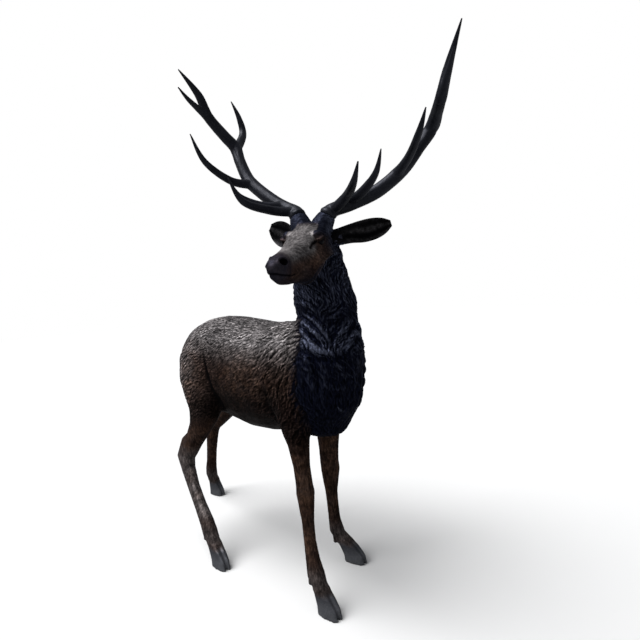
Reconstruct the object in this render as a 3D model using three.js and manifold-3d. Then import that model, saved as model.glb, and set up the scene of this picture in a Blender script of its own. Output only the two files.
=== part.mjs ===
// A life-size bronze stag that stands on its own four hooves, head turned to its right.
// The figure is one casting: trunk, neck with its mane, head, ears, legs and hooves.
// Each antler is a casting of its own that sits on a bony stub of the skull, with a seam at its foot.
// Millimetres, +Z up, +X the way the body faces, +Y the stag's left. The hooves stand on z = 0,
// and the origin is below the middle of the whole work.
import * as THREE from "three";
import { mergeVertices } from "three/addons/utils/BufferGeometryUtils.js";
import Module from "manifold-3d";

// Driving dimensions.
const WITHERS_HEIGHT = 1250; // ground to the top of the shoulders
const ANTLER_REACH = 865; // an antler's foot to the tip of its top tine, measured straight
const ANTLER_SEAM = 0.3; // the gap between an antler's foot and the stub that it sits on
const BURR_RADIUS = 37.5; // the thickened foot of an antler
const BURR_HEIGHT = 24;
const HOOF_LENGTH = 110; // along the sole
const HOOF_WIDTH = 71; // across both toes
const HOOF_CLEFT = 3; // the split between the two toes
const LOCK_DEPTH = 11; // how far the mane's locks stand off the neck
const EAR_LENGTH = 262;

// The figure's form is drawn at a withers height of 1250, and the antlers' at a reach of 865.
const SHARE = WITHERS_HEIGHT / 1250;
const ANTLER_SHARE = ANTLER_REACH / 865;
const EAR_SHARE = EAR_LENGTH / 262;

const BRONZE = { color: 0x3a2f29, roughness: 0.5, metalness: 0.85 };
const BLUE_BLACK = { color: 0x1d2128, roughness: 0.42, metalness: 0.8 };

const wasm = await Module();
wasm.setup();
const { Manifold, Mesh } = wasm;

const vec = (x, y, z) => new THREE.Vector3(x, y, z);
const FORWARD = vec(1, 0, 0);
const UP = vec(0, 0, 1);
const SIDES = [1, -1];

// One value of a table's column at a fractional row, on a Catmull-Rom curve through the rows.
function alongColumn(rows, column, position) {
  const i = Math.min(Math.floor(position), rows.length - 2);
  const t = position - i;
  const value = (k) => rows[THREE.MathUtils.clamp(k, 0, rows.length - 1)][column];
  const [a, b, c, d] = [value(i - 1), value(i), value(i + 1), value(i + 2)];
  return b + 0.5 * t * (c - a + t * (2 * a - 5 * b + 4 * c - d + t * (3 * (b - c) + d - a)));
}

// A closed skin over rings that follow a centre line.
// A row is [x, y, z, side, front, back]: the centre, the half width, and the depth before and behind it.
// The front of each ring points along facing(position), as nearly as the centre line allows.
// lift(position, angle) moves a point of the skin off the centre line.
// scoop(position) hollows the front of a ring, from 0, round, to 1, a rolled leaf.
const flat = () => 0;
function skin({ rows, sides, steps = 1, facing, scale = SHARE, lift = flat, scoop = flat, bulge = 2 }) {
  const points = [];
  const last = rows.length - 1;
  const centre = (u) => vec(...[0, 1, 2].map((column) => alongColumn(rows, column, u)));
  const bend = (v) => Math.sign(v) * Math.abs(v) ** (2 / bulge);
  for (let ring = 0; ring <= last * steps; ring++) {
    const u = ring / steps;
    const along = centre(Math.min(u + 0.05, last)).sub(centre(Math.max(u - 0.05, 0))).normalize();
    const front = facing(u).clone().addScaledVector(along, -facing(u).dot(along)).normalize();
    const side = vec(0, 0, 0).crossVectors(along, front);
    const [half, ahead, behind] = [3, 4, 5].map((column) => Math.max(alongColumn(rows, column, u), 1));
    const hollow = THREE.MathUtils.lerp(ahead, -0.55 * behind, scoop(u));
    for (let k = 0; k < sides; k++) {
      const angle = (2 * Math.PI * k) / sides;
      const [across, out] = [bend(Math.cos(angle)) * half, bend(Math.sin(angle))];
      const depth = out > 0 ? hollow : behind;
      const arm = side.clone().multiplyScalar(across).addScaledVector(front, out * depth);
      points.push(centre(u).addScaledVector(arm, 1 + lift(u, angle) / Math.max(arm.length(), 1)));
    }
  }
  return solidFromRings(points, sides, scale);
}

// A solid from rings of points, closed by a fan at each end.
function solidFromRings(points, sides, scale) {
  const rings = points.length / sides;
  const triangles = [];
  for (let r = 0; r < rings - 1; r++) {
    for (let s = 0; s < sides; s++) {
      const [a, b] = [r * sides + s, r * sides + ((s + 1) % sides)];
      triangles.push(a, b, a + sides, b, b + sides, a + sides);
    }
  }
  for (const [first, turn] of [[0, 1], [(rings - 1) * sides, -1]]) {
    const rim = points.slice(first, first + sides);
    const middle = rim.reduce((sum, point) => sum.add(point), vec(0, 0, 0)).divideScalar(sides);
    const hub = points.push(middle) - 1;
    for (let s = 0; s < sides; s++) {
      const edge = [first + ((s + 1) % sides), first + s];
      triangles.push(hub, ...(turn > 0 ? edge : edge.reverse()));
    }
  }
  points.forEach((point) => point.multiplyScalar(scale));
  const geometry = new THREE.BufferGeometry().setFromPoints(points);
  geometry.setIndex(triangles);
  return toSolid(geometry);
}

// A solid from a closed geometry, turned inside out where its faces point inwards.
function toSolid(geometry) {
  const bare = geometry.index ? geometry.toNonIndexed() : geometry;
  const skinOnly = new THREE.BufferGeometry().setAttribute("position", bare.getAttribute("position"));
  const merged = mergeVertices(skinOnly, 1e-3);
  const vertProperties = merged.getAttribute("position").array;
  const build = (triVerts) => new Manifold(new Mesh({ numProp: 3, vertProperties, triVerts }));
  const triVerts = new Uint32Array(merged.index.array);
  const solid = build(triVerts);
  return solid.volume() > 0 ? solid : build(triVerts.reverse());
}

function toGeometry(solid) {
  const { numProp, vertProperties, triVerts } = solid.getMesh();
  const geometry = new THREE.BufferGeometry();
  geometry.setAttribute("position", new THREE.BufferAttribute(vertProperties, numProp));
  geometry.setIndex(new THREE.BufferAttribute(triVerts, 1));
  geometry.computeVertexNormals();
  return geometry;
}

const join = (solids) => solids.reduce((whole, next) => whole.add(next));
const placed = (solid, matrix) => solid.transform(matrix.elements);

// An egg-shaped solid at a place, with its three half axes.
function egg(x, y, z, a, b, c, detail = 8) {
  const geometry = new THREE.SphereGeometry(SHARE, detail, Math.ceil(detail * 0.7));
  geometry.scale(a, b, c).translate(x * SHARE, y * SHARE, z * SHARE);
  return toSolid(geometry);
}

// Trunk, from the rump to the chest. Columns: x, y, z, half width, height above, depth below.
function trunk() {
  const rows = [
    [-638, 0, 985, 24, 30, 30],
    [-628, 0, 985, 86, 106, 105],
    [-585, 0, 985, 138, 164, 155],
    [-515, 0, 985, 166, 206, 205],
    [-415, 0, 985, 184, 238, 245],
    [-305, 0, 975, 190, 262, 262],
    [-160, 0, 958, 202, 276, 264],
    [-10, 0, 945, 214, 272, 268],
    [140, 0, 940, 214, 264, 254],
    [270, 0, 945, 198, 264, 234],
    [390, 0, 955, 182, 255, 246],
    [490, 0, 965, 165, 215, 210],
    [560, 0, 975, 118, 150, 150],
    [592, 0, 980, 50, 60, 80],
  ];
  return skin({ rows, sides: 20, facing: () => UP });
}

// Neck with the mane that hangs on the chest.
// It turns from the way the body faces to the way the head faces.
const HEAD_TURN = THREE.MathUtils.degToRad(-63.6);
function neck() {
  const rows = [
    [424, 0, 710, 36, 36, 36],
    [424, 0, 727, 80, 78, 80],
    [430, 0, 778, 112, 102, 122],
    [438, 0, 855, 144, 133, 168],
    [441, 0, 950, 158, 173, 215],
    [437, 0, 1050, 158, 195, 200],
    [444, 5, 1140, 140, 192, 150],
    [456, 12, 1230, 117, 168, 108],
    [450, 12, 1320, 126, 148, 121],
    [441, 10, 1410, 112, 136, 124],
    [434, 7, 1490, 98, 123, 109],
    [426, 3, 1560, 81, 98, 93],
    [424, 2, 1608, 56, 60, 56],
  ];
  const turn = (u) => THREE.MathUtils.smoothstep(u, 5, 12) * HEAD_TURN;
  const facing = (u) => vec(Math.cos(turn(u)), Math.sin(turn(u)), 0);
  return skin({ rows, sides: 32, steps: 2, facing, lift: maneLocks });
}

// Rows of pointed locks that hang over one another and sway, at a place on the neck's skin.
const LOCKS_ROUND = 9;
const LOCK_ROWS_PER_STATION = 0.8;
function maneLocks(u, angle) {
  const row = Math.floor(u * LOCK_ROWS_PER_STATION);
  const hang = 1 - (u * LOCK_ROWS_PER_STATION - row);
  const sway = 0.5 * Math.sin(2.1 * u) + Math.PI * row;
  const ridge = 0.5 + 0.5 * Math.cos(LOCKS_ROUND * angle + sway);
  const { smoothstep } = THREE.MathUtils;
  const fade = smoothstep(u, 0.5, 2) * (1 - smoothstep(u, 9.5, 11.5));
  return LOCK_DEPTH * fade * (ridge * (0.5 + 0.7 * hang) - 0.3);
}

// A leg, down to its pastern. Columns: x, y, z, half width, depth before, depth behind.
const leg = (rows) => skin({ rows, sides: 10, facing: () => FORWARD });

const foreLegRight = () =>
  leg([
    [330, -80, 1060, 50, 90, 90],
    [335, -105, 960, 70, 118, 122],
    [348, -120, 850, 68, 104, 94],
    [376, -131, 760, 54, 72, 64],
    [399, -136, 690, 44, 52, 50],
    [408, -133, 600, 35, 37, 42],
    [411, -129, 530, 36, 38, 38],
    [412, -127, 485, 41, 42, 37],
    [416, -128, 435, 35, 36, 34],
    [424, -131, 360, 27, 27, 28],
    [435, -136, 280, 26, 26, 29],
    [452, -140, 205, 30, 31, 35],
    [468, -141, 150, 37, 36, 44],
    [488, -141, 112, 32, 31, 36],
    [514, -140, 74, 28, 28, 30],
  ]);

const foreLegLeft = () =>
  leg([
    [330, 80, 1060, 50, 90, 90],
    [325, 108, 960, 70, 118, 122],
    [312, 124, 850, 68, 104, 108],
    [300, 138, 760, 56, 86, 88],
    [288, 149, 680, 53, 62, 70],
    [277, 158, 590, 46, 49, 58],
    [267, 166, 510, 46, 43, 49],
    [263, 171, 465, 48, 46, 42],
    [257, 176, 415, 41, 39, 38],
    [250, 183, 345, 31, 29, 30],
    [246, 192, 265, 29, 27, 30],
    [243, 203, 190, 30, 26, 36],
    [245, 213, 140, 36, 28, 46],
    [258, 220, 108, 32, 24, 40],
    [286, 225, 74, 28, 24, 30],
  ]);

const hindLegRight = () =>
  leg([
    [-412, -80, 1120, 50, 90, 90],
    [-418, -112, 1020, 90, 182, 150],
    [-398, -130, 920, 92, 208, 144],
    [-368, -142, 820, 84, 200, 100],
    [-365, -149, 735, 68, 138, 68],
    [-396, -155, 650, 54, 80, 62],
    [-450, -162, 570, 44, 60, 62],
    [-506, -168, 508, 40, 65, 84],
    [-536, -173, 455, 38, 66, 88],
    [-508, -180, 395, 34, 44, 50],
    [-444, -192, 315, 30, 36, 38],
    [-361, -206, 240, 30, 36, 37],
    [-282, -218, 175, 34, 40, 43],
    [-241, -226, 136, 36, 40, 47],
    [-207, -231, 104, 33, 34, 36],
    [-171, -233, 74, 28, 29, 30],
  ]);

const hindLegLeft = () =>
  leg([
    [-412, 80, 1120, 50, 90, 90],
    [-440, 112, 1020, 90, 165, 165],
    [-470, 130, 920, 92, 175, 165],
    [-510, 142, 820, 84, 145, 130],
    [-562, 150, 735, 68, 105, 95],
    [-640, 158, 650, 53, 76, 74],
    [-725, 168, 580, 42, 58, 62],
    [-800, 176, 530, 39, 52, 62],
    [-838, 182, 480, 37, 48, 68],
    [-860, 188, 415, 33, 38, 54],
    [-892, 196, 330, 31, 33, 41],
    [-925, 207, 245, 31, 33, 37],
    [-955, 218, 178, 34, 37, 44],
    [-968, 226, 136, 36, 37, 46],
    [-964, 231, 104, 33, 33, 36],
    [-952, 234, 74, 28, 28, 30],
  ]);

// A foot: two toes with a cleft between them, and two dewclaws behind the fetlock.
// It is drawn with its heel over the origin, toes towards +x, and then set at its place.
// A toe's row is [x, height, half width, depth before, depth behind, lean]. All but the height and the lean
// are shares of the hoof's own sizes, and the lean is how far the row follows the fetlock.
const TOE = [
  [0.08, 114, 0.82, 0.13, 0.22, 0.6],
  [0.18, 86, 0.95, 0.22, 0.27, 0.35],
  [0.34, 52, 1, 0.39, 0.36, 0.1],
  [0.48, 18, 1, 0.54, 0.47, 0],
  [0.5, -8, 0.94, 0.54, 0.47, 0],
];
// A dewclaw's row is [how far behind the fetlock's middle, height, radius].
const DEWCLAW = [
  [12, 150, 15],
  [23, 128, 15],
  [29, 110, 13],
  [30, 103, 10],
];
function foot({ x, y, yaw, fetlock, drop }) {
  const [length, width, cleft] = [HOOF_LENGTH, HOOF_WIDTH, HOOF_CLEFT].map((size) => size / SHARE);
  const half = (width - cleft) / 4;
  const toe = (side) => {
    const middle = side * (cleft / 2 + half);
    const rows = TOE.map(([at, z, wide, ahead, behind, lean]) =>
      [at * length + lean * (fetlock - x), middle, z, wide * half, ahead * length, behind * length]);
    return skin({ rows, sides: 8, facing: () => vec(1, -0.12 * side, 0), bulge: 2.3 });
  };
  const dewclaw = (side) => {
    const rows = DEWCLAW.map(([back, z, girth]) => {
      return [fetlock - back - x + drop, side * half, z - drop, girth, girth, girth];
    });
    return skin({ rows, sides: 6, facing: () => FORWARD });
  };
  const place = new THREE.Matrix4().makeRotationZ(yaw).setPosition(x * SHARE, y * SHARE, 0);
  return placed(join(SIDES.flatMap((side) => [toe(side), dewclaw(side)])), place);
}

// Where each heel stands, the way its toes point, how far forward its fetlock is on the figure,
// and how far its dewclaws have dropped as the pastern gives way.
const FEET = [
  { x: 486, y: -138, yaw: -0.05, fetlock: 466, drop: 6 },
  { x: 290, y: 226, yaw: 0.12, fetlock: 226, drop: 36 },
  { x: -184, y: -234, yaw: -0.1, fetlock: -242, drop: 10 },
  { x: -985, y: 236, yaw: 0.05, fetlock: -968, drop: 6 },
];

// The head's own frame: the origin is the poll, between the antlers, and +x is the way it faces.
const HEAD_PLACE = new THREE.Matrix4()
  .makeRotationFromEuler(new THREE.Euler(-0.055, -0.072, HEAD_TURN, "ZYX"))
  .setPosition(441 * SHARE, -22 * SHARE, 1631 * SHARE);

function head() {
  const rows = [
    [-88, 0, -106, 20, 20, 20],
    [-76, 0, -102, 62, 70, 66],
    [-30, 0, -98, 80, 96, 104],
    [35, 0, -104, 86, 102, 130],
    [100, 0, -128, 82, 82, 130],
    [165, 0, -154, 63, 62, 114],
    [228, 0, -176, 50, 49, 98],
    [285, 0, -194, 43, 41, 88],
    [332, 0, -209, 42, 37, 77],
    [361, 0, -222, 34, 30, 61],
    [374, 0, -233, 23, 20, 40],
    [379, 0, -239, 12, 9, 16],
  ];
  const skull = skin({ rows, sides: 20, facing: () => UP });
  const pair = (make) => SIDES.map(make);
  const brows = pair((side) => egg(90, side * 60, -71, 46, 29, 27));
  const eyes = pair((side) => egg(104, side * 80, -86, 20, 14, 14));
  const nostrils = pair((side) => egg(352, side * 33, -200, 22, 15, 13));
  const lips = mouthLine(rows);
  const whole = join([skull, ...brows, ...eyes, ...pair(stub), ...pair(ear)]);
  return placed([...nostrils, lips].reduce((rest, hollow) => rest.subtract(hollow), whole), HEAD_PLACE);
}

// The line of the mouth: a thin blade around the muzzle that bites a little way into its skin.
const LIP_DEPTH = 7;
function mouthLine(rows) {
  const blade = egg(318, 0, -248, 62, 60, 3, 10);
  const inner = rows.map(([x, y, z, ...arms]) => {
    return [x - LIP_DEPTH, y, z, ...arms.map((arm) => arm - LIP_DEPTH)];
  });
  return blade.subtract(skin({ rows: inner, sides: 20, facing: () => UP }));
}

// The bony stub under an antler, cut flat at the seam. Its axis is the way the antler leaves the skull.
const ANTLER_FOOT = [-6, 67, 30];
const STUB_AXIS = [-0.14, 0.42, 0.9];
function stub(side) {
  const [x, y, z] = ANTLER_FOOT;
  const [dx, dy, dz] = STUB_AXIS;
  const row = (reach, radius) => {
    return [x + reach * dx, side * (y + reach * dy), z + reach * dz, radius, radius, radius];
  };
  const girth = (0.9 * BURR_RADIUS) / SHARE;
  const rows = [row(-90, 1.6 * girth), row(-40, 1.4 * girth), row(10, 1.04 * girth)];
  const rod = skin({ rows, sides: 12, facing: () => FORWARD });
  return rod.subtract(beyondSeam(side, 1));
}

// Everything on one side of an antler's seam: above the stub for 1, below the antler for -1.
function beyondSeam(side, way) {
  const [x, y, z] = ANTLER_FOOT;
  const axis = vec(STUB_AXIS[0], side * STUB_AXIS[1], STUB_AXIS[2]).normalize();
  const deep = 6 * BURR_RADIUS;
  const block = new THREE.BoxGeometry(deep, deep, deep).translate(0, 0, way * (deep - ANTLER_SEAM) / 2);
  block.applyQuaternion(new THREE.Quaternion().setFromUnitVectors(UP, axis));
  return toSolid(block.translate(x * SHARE, side * y * SHARE, z * SHARE));
}

// An ear: a leaf rolled into a scoop, open towards the front. The right one is turned further forward.
function ear(side) {
  const [spread, rise, wide, seat] = side > 0 ? [1.06, 0.97, 1, 60] : [0.88, 1.25, 1.18, 75];
  const rows = [
    [0, 0, -6, 34, 24, 24],
    [-26, 34, 4, 36, 24, 28],
    [-58, 78, 22, 41, 24, 32],
    [-88, 124, 36, 48, 24, 32],
    [-110, 166, 51, 45, 20, 26],
    [-122, 202, 64, 29, 12, 16],
    [-128, 230, 74, 9, 4, 6],
  ].map(([x, y, z, half, ...depths]) => {
    const [ahead, out, up] = [x, y * spread, z * rise].map((reach) => reach * EAR_SHARE);
    const foot = [ahead - 18, side * (66 + out), up - seat];
    return [...foot, ...[wide * half, ...depths].map((arm) => arm * EAR_SHARE)];
  });
  const scoop = (u) => 0.95 * THREE.MathUtils.smoothstep(u, 0.4, 2.6);
  return skin({ rows, sides: 12, facing: () => vec(0.95, side * 0.1, -0.1), scoop });
}

// A short tail held close to the rump.
function tail() {
  const rows = [
    [-560, 0, 1135, 26, 22, 22],
    [-612, 0, 1105, 30, 22, 22],
    [-650, 0, 1050, 32, 20, 20],
    [-662, 0, 985, 28, 16, 18],
    [-658, 0, 930, 14, 9, 10],
    [-654, 0, 912, 3, 3, 3],
  ];
  return skin({ rows, sides: 8, facing: () => vec(0.3, 0, 1) });
}

function figure() {
  const legs = [foreLegRight(), foreLegLeft(), hindLegRight(), hindLegLeft()];
  const sheath = egg(-118, 0, 697, 60, 22, 29);
  const whole = join([trunk(), neck(), head(), tail(), sheath, ...legs, ...FEET.map(foot)]);
  const [span, depth] = [4 * WITHERS_HEIGHT, WITHERS_HEIGHT];
  const ground = toSolid(new THREE.BoxGeometry(span, span, depth).translate(0, 0, -depth / 2));
  return whole.subtract(ground);
}

// The antlers, in the head's frame: the beam, and then its tines from the brow to the crown.
// A row is [forward, outward, up, radius, skew]. The skew lifts the left antler and lowers the right,
// because the two are a pair but not mirror images.
const BEAM = [
  [-14, 74, 46, 31, 0],
  [-28, 103, 62, 30, 0],
  [-46, 165, 88, 29, -3],
  [-75, 265, 146, 29, -9],
  [-104, 360, 228, 28, -5],
  [-128, 422, 324, 26, -8],
  [-152, 464, 400, 27, -10],
  [-100, 496, 445, 25, -10],
  [-12, 526, 492, 22, -22],
  [28, 555, 582, 17, -20],
  [108, 608, 690, 3, 0],
];
const TINES = [
  [[-12, 90, 52, 22, 0], [50, 168, 73, 19, 20], [176, 234, 90, 14, 23], [239, 268, 160, 3, 10]],
  [[-38, 150, 88, 20, 0], [20, 227, 98, 19, 17], [89, 297, 138, 13, 28], [133, 326, 207, 3, 34]],
  [[-95, 335, 205, 21, -5], [-16, 404, 230, 17, 18], [107, 463, 283, 13, 15], [172, 496, 366, 3, -5]],
  [[-150, 458, 390, 23, -9], [-247, 477, 478, 18, -28], [-240, 496, 553, 13, -36], [-204, 522, 615, 3, -46]],
  [[-20, 526, 485, 16, -20], [50, 552, 525, 13, -15], [93, 570, 555, 9, -9], [137, 586, 588, 3, -8]],
];

function antler(side) {
  const [x, y, z] = ANTLER_FOOT;
  const rod = (rows, sides) => {
    const spots = rows.map(([ahead, out, up, radius, skew]) => {
      const [dx, dy, dz] = [ahead - x, out - y, up + side * skew - z].map((step) => step * ANTLER_SHARE);
      const place = [x * SHARE + dx, side * (y * SHARE + dy), z * SHARE + dz];
      return [...place, ...Array(3).fill(radius * ANTLER_SHARE)];
    });
    return skin({ rows: spots, sides, steps: 2, facing: () => vec(0.9, 0, 0.4), scale: 1 });
  };
  const tines = TINES.map((rows) => rod(rows, 6));
  return join([rod(BEAM, 8), burr(side), ...tines]).subtract(beyondSeam(side, -1));
}

// The thickened foot of an antler, from inside the cut to inside the beam.
function burr(side) {
  const [dx, dy, dz] = STUB_AXIS;
  const row = (reach, radius) => {
    const place = ANTLER_FOOT.map((step, i) => step * SHARE + reach * [dx, dy, dz][i]);
    return [place[0], side * place[1], place[2], radius, radius, radius];
  };
  const rows = [
    row(-BURR_HEIGHT, 0.9 * BURR_RADIUS),
    row(0, 0.95 * BURR_RADIUS),
    row(0.5 * BURR_HEIGHT, BURR_RADIUS),
    row(BURR_HEIGHT, 0.84 * BURR_RADIUS),
    row(1.5 * BURR_HEIGHT, 0.6 * BURR_RADIUS),
  ];
  return skin({ rows, sides: 12, facing: () => FORWARD, scale: 1 });
}

const stag = new THREE.Group();
const crown = new THREE.Group();
crown.applyMatrix4(HEAD_PLACE);
stag.add(crown);

function addMesh(parent, name, solid, look) {
  const mesh = new THREE.Mesh(toGeometry(solid), new THREE.MeshStandardMaterial(look));
  mesh.name = name;
  parent.add(mesh);
}
addMesh(stag, "stag", figure(), BRONZE);
addMesh(crown, "antler_left", antler(1), BLUE_BLACK);
addMesh(crown, "antler_right", antler(-1), BLUE_BLACK);

// The middle of the work goes over the origin.
const middle = new THREE.Box3().setFromObject(stag, true).getCenter(vec(0, 0, 0));
stag.position.set(-middle.x, -middle.y, 0);

export default stag;
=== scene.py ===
import math

import bmesh
import bpy
import numpy as np
from mathutils import Matrix, Vector


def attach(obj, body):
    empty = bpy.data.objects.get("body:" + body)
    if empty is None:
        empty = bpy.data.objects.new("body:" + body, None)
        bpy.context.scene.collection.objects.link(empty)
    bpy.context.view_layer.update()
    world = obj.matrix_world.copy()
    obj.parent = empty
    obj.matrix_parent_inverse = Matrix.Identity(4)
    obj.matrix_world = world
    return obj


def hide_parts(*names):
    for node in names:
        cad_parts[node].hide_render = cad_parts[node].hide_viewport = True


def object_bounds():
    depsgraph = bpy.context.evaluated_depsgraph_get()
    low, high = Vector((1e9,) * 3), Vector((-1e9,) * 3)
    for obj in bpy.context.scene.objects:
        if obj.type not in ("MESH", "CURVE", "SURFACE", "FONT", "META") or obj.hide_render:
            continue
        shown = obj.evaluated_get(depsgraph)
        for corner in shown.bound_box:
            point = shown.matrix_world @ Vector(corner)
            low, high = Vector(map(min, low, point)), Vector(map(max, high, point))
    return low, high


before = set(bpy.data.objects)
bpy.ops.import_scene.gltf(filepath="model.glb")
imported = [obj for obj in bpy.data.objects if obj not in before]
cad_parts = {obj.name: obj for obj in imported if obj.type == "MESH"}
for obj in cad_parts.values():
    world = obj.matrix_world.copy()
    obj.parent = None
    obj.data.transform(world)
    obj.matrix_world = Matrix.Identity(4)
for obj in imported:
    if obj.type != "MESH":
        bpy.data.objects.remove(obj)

# The figure frame is the part's frame before the work's middle went over the origin.
# Its x = 0 and y = 0 are where the figure's own numbers below start.
SHIFT = np.array([-0.018379, -0.041832, 0.0])

# The head's frame: x is the way the head faces, y its left, z up, from the poll.
HEAD = (
    Matrix.Translation((0.441, -0.022, 1.631))
    @ Matrix.Rotation(math.radians(-63.6), 4, "Z")
    @ Matrix.Rotation(-0.072, 4, "Y")
    @ Matrix.Rotation(-0.055, 4, "X")
)

SKIN_VOXEL = 0.0038
ANTLER_VOXEL = 0.0032

cad_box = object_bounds()


def smoothstep(value, low, high):
    t = np.clip((value - low) / (high - low), 0.0, 1.0)
    return t * t * (3.0 - 2.0 * t)


def bump(distance, width):
    return np.exp(-(distance / width) ** 2)


def unit(vectors):
    return vectors / np.maximum(np.linalg.norm(vectors, axis=1, keepdims=True), 1e-9)


def to_head(co):
    inverse = np.array(HEAD.inverted())
    return co @ inverse[:3, :3].T + inverse[:3, 3]


# Mesh handling


def read_points(mesh):
    co = np.empty(len(mesh.vertices) * 3, np.float32)
    mesh.vertices.foreach_get("co", co)
    return co.reshape(-1, 3).astype(float)


def write_points(mesh, co):
    mesh.vertices.foreach_set("co", co.astype(np.float32).ravel())
    mesh.update()


def read_normals(mesh):
    normals = np.empty(len(mesh.vertices) * 3, np.float32)
    mesh.vertex_normals.foreach_get("vector", normals)
    return normals.reshape(-1, 3).astype(float)


def read_edges(mesh):
    ends = np.empty(len(mesh.edges) * 2, np.int32)
    mesh.edges.foreach_get("vertices", ends)
    return ends.reshape(-1, 2)


def voxel_mesh(source, voxel):
    """A copy of a mesh object's shape as an even skin of small quads."""
    helper = bpy.data.objects.new("voxel_helper", source.data.copy())
    bpy.context.scene.collection.objects.link(helper)
    remesh = helper.modifiers.new("voxels", "REMESH")
    remesh.mode = "VOXEL"
    remesh.voxel_size = voxel
    evaluated = helper.evaluated_get(bpy.context.evaluated_depsgraph_get())
    mesh = bpy.data.meshes.new_from_object(evaluated)
    bpy.data.objects.remove(helper)
    return mesh


def relax(co, ends, rounds, weight):
    """Moves each point towards the middle of its neighbours, by its own weight."""
    a, b = ends[:, 0], ends[:, 1]
    count = np.bincount(a, minlength=len(co)) + np.bincount(b, minlength=len(co))
    share = weight / np.maximum(count, 1)
    for _ in range(rounds):
        for k in range(3):
            column = co[:, k]
            total = np.bincount(a, column[b], len(co)) + np.bincount(b, column[a], len(co))
            co[:, k] = column + share * total - weight * column
    return co


def new_mesh(name, co, corners, starts, totals):
    mesh = bpy.data.meshes.new(name)
    mesh.vertices.add(len(co))
    mesh.vertices.foreach_set("co", co.astype(np.float32).ravel())
    mesh.loops.add(len(corners))
    mesh.loops.foreach_set("vertex_index", corners.astype(np.int32))
    mesh.polygons.add(len(starts))
    mesh.polygons.foreach_set("loop_start", starts.astype(np.int32))
    mesh.polygons.foreach_set("loop_total", totals.astype(np.int32))
    mesh.polygons.foreach_set("use_smooth", np.ones(len(starts), bool))
    mesh.update(calc_edges=True)
    mesh.validate()
    return mesh


def cut_out(mesh, keep, name, normals, fields):
    """One piece of a mesh: the faces in keep, with the whole mesh's normals and point fields."""
    starts = np.empty(len(mesh.polygons), np.int32)
    totals = np.empty(len(mesh.polygons), np.int32)
    mesh.polygons.foreach_get("loop_start", starts)
    mesh.polygons.foreach_get("loop_total", totals)
    corners = np.empty(len(mesh.loops), np.int32)
    mesh.loops.foreach_get("vertex_index", corners)
    face_of_corner = np.repeat(np.arange(len(totals)), totals)
    kept = corners[keep[face_of_corner]]
    used, renumbered = np.unique(kept, return_inverse=True)
    kept_totals = totals[keep]
    kept_starts = np.concatenate([[0], np.cumsum(kept_totals)[:-1]])
    piece = new_mesh(name, read_points(mesh)[used], renumbered, kept_starts, kept_totals)
    piece.normals_split_custom_set_from_vertices(normals[used].astype(np.float32))
    for field, values in fields.items():
        add_field(piece, field, values[used])
    return piece


def add_field(mesh, name, values):
    if values.ndim == 1:
        mesh.attributes.new(name, "FLOAT", "POINT").data.foreach_set("value", values.astype(np.float32))
    else:
        padded = np.ones((len(values), 4), np.float32)
        padded[:, : values.shape[1]] = values
        mesh.attributes.new(name, "FLOAT_COLOR", "POINT").data.foreach_set("color", padded.ravel())


# Fur, as overlapping tufts in the mesh


def scatter(cells, seed):
    """Five even numbers from 0 to 1 for each cell of a grid, always the same ones."""
    mixed = cells[:, 0] * 73856093 ^ cells[:, 1] * 19349663 ^ cells[:, 2] * 83492791 ^ seed * 7919
    mixed = mixed.astype(np.uint64)
    values = []
    for step in (0x9E3779B97F4A7C15, 0xBF58476D1CE4E5B9, 0x94D049BB133111EB, 0xD6E8FEB86659FD93, 0xA0761D6478BD642F):
        mixed = (mixed ^ (mixed >> np.uint64(29))) * np.uint64(step)
        mixed = mixed ^ (mixed >> np.uint64(32))
        values.append((mixed & np.uint64(0xFFFFFF)).astype(float) / 0x1000000)
    return np.stack(values, 1)


def tufts(co, normals, flow, cell, length, width, seed, lean=0.35, wave=0.0):
    """The height, from 0 to 1, of a coat of pointed tufts that lie along the flow."""
    flow = unit(flow - normals * (flow * normals).sum(1, keepdims=True))
    side = np.cross(normals, flow)
    base = np.floor(co / cell).astype(np.int64)
    reach = int(math.ceil(0.5 * length / cell + 0.2))
    height = np.zeros(len(co))
    steps = range(-reach, reach + 1)
    for offset in ((i, j, k) for i in steps for j in steps for k in steps):
        cells = base + np.array(offset)
        rough = co - (cells + 0.5) * cell
        near = np.abs((rough * normals).sum(1)) < 1.5 * cell
        near &= np.abs((rough * side).sum(1)) < 1.6 * width + 0.87 * cell
        if not near.any():
            continue
        chance = scatter(cells[near], seed)
        away = co[near] - (cells[near] + chance[:, :3]) * cell
        gate = 1.0 - ((away * normals[near]).sum(1) / (0.85 * cell)) ** 2
        along, across = (away * flow[near]).sum(1), (away * side[near]).sum(1)
        turn = (chance[:, 3] - 0.5) * 2.0 * lean
        s = along * np.cos(turn) - across * np.sin(turn)
        c = along * np.sin(turn) + across * np.cos(turn)
        size = 0.7 + 0.6 * chance[:, 4]
        t = s / (length * size) + 0.5
        inside = np.clip(t, 1e-4, 1 - 1e-4)
        c = c + wave * width * np.sin(2 * math.pi * (inside + 7.3 * chance[:, 4]))
        half = 0.5 * width * size * 1.9 * inside ** 0.45 * (1.0 - inside) ** 0.55
        crest = 1.0 - (c / np.maximum(half, 1e-6)) ** 2
        rise = np.sqrt(np.clip(crest, 0, 1)) * np.clip(gate, 0, 1) * (0.35 + 0.65 * inside)
        rise[(t <= 0) | (t >= 1)] = 0.0
        height[near] = np.maximum(height[near], rise)
    return height


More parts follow.
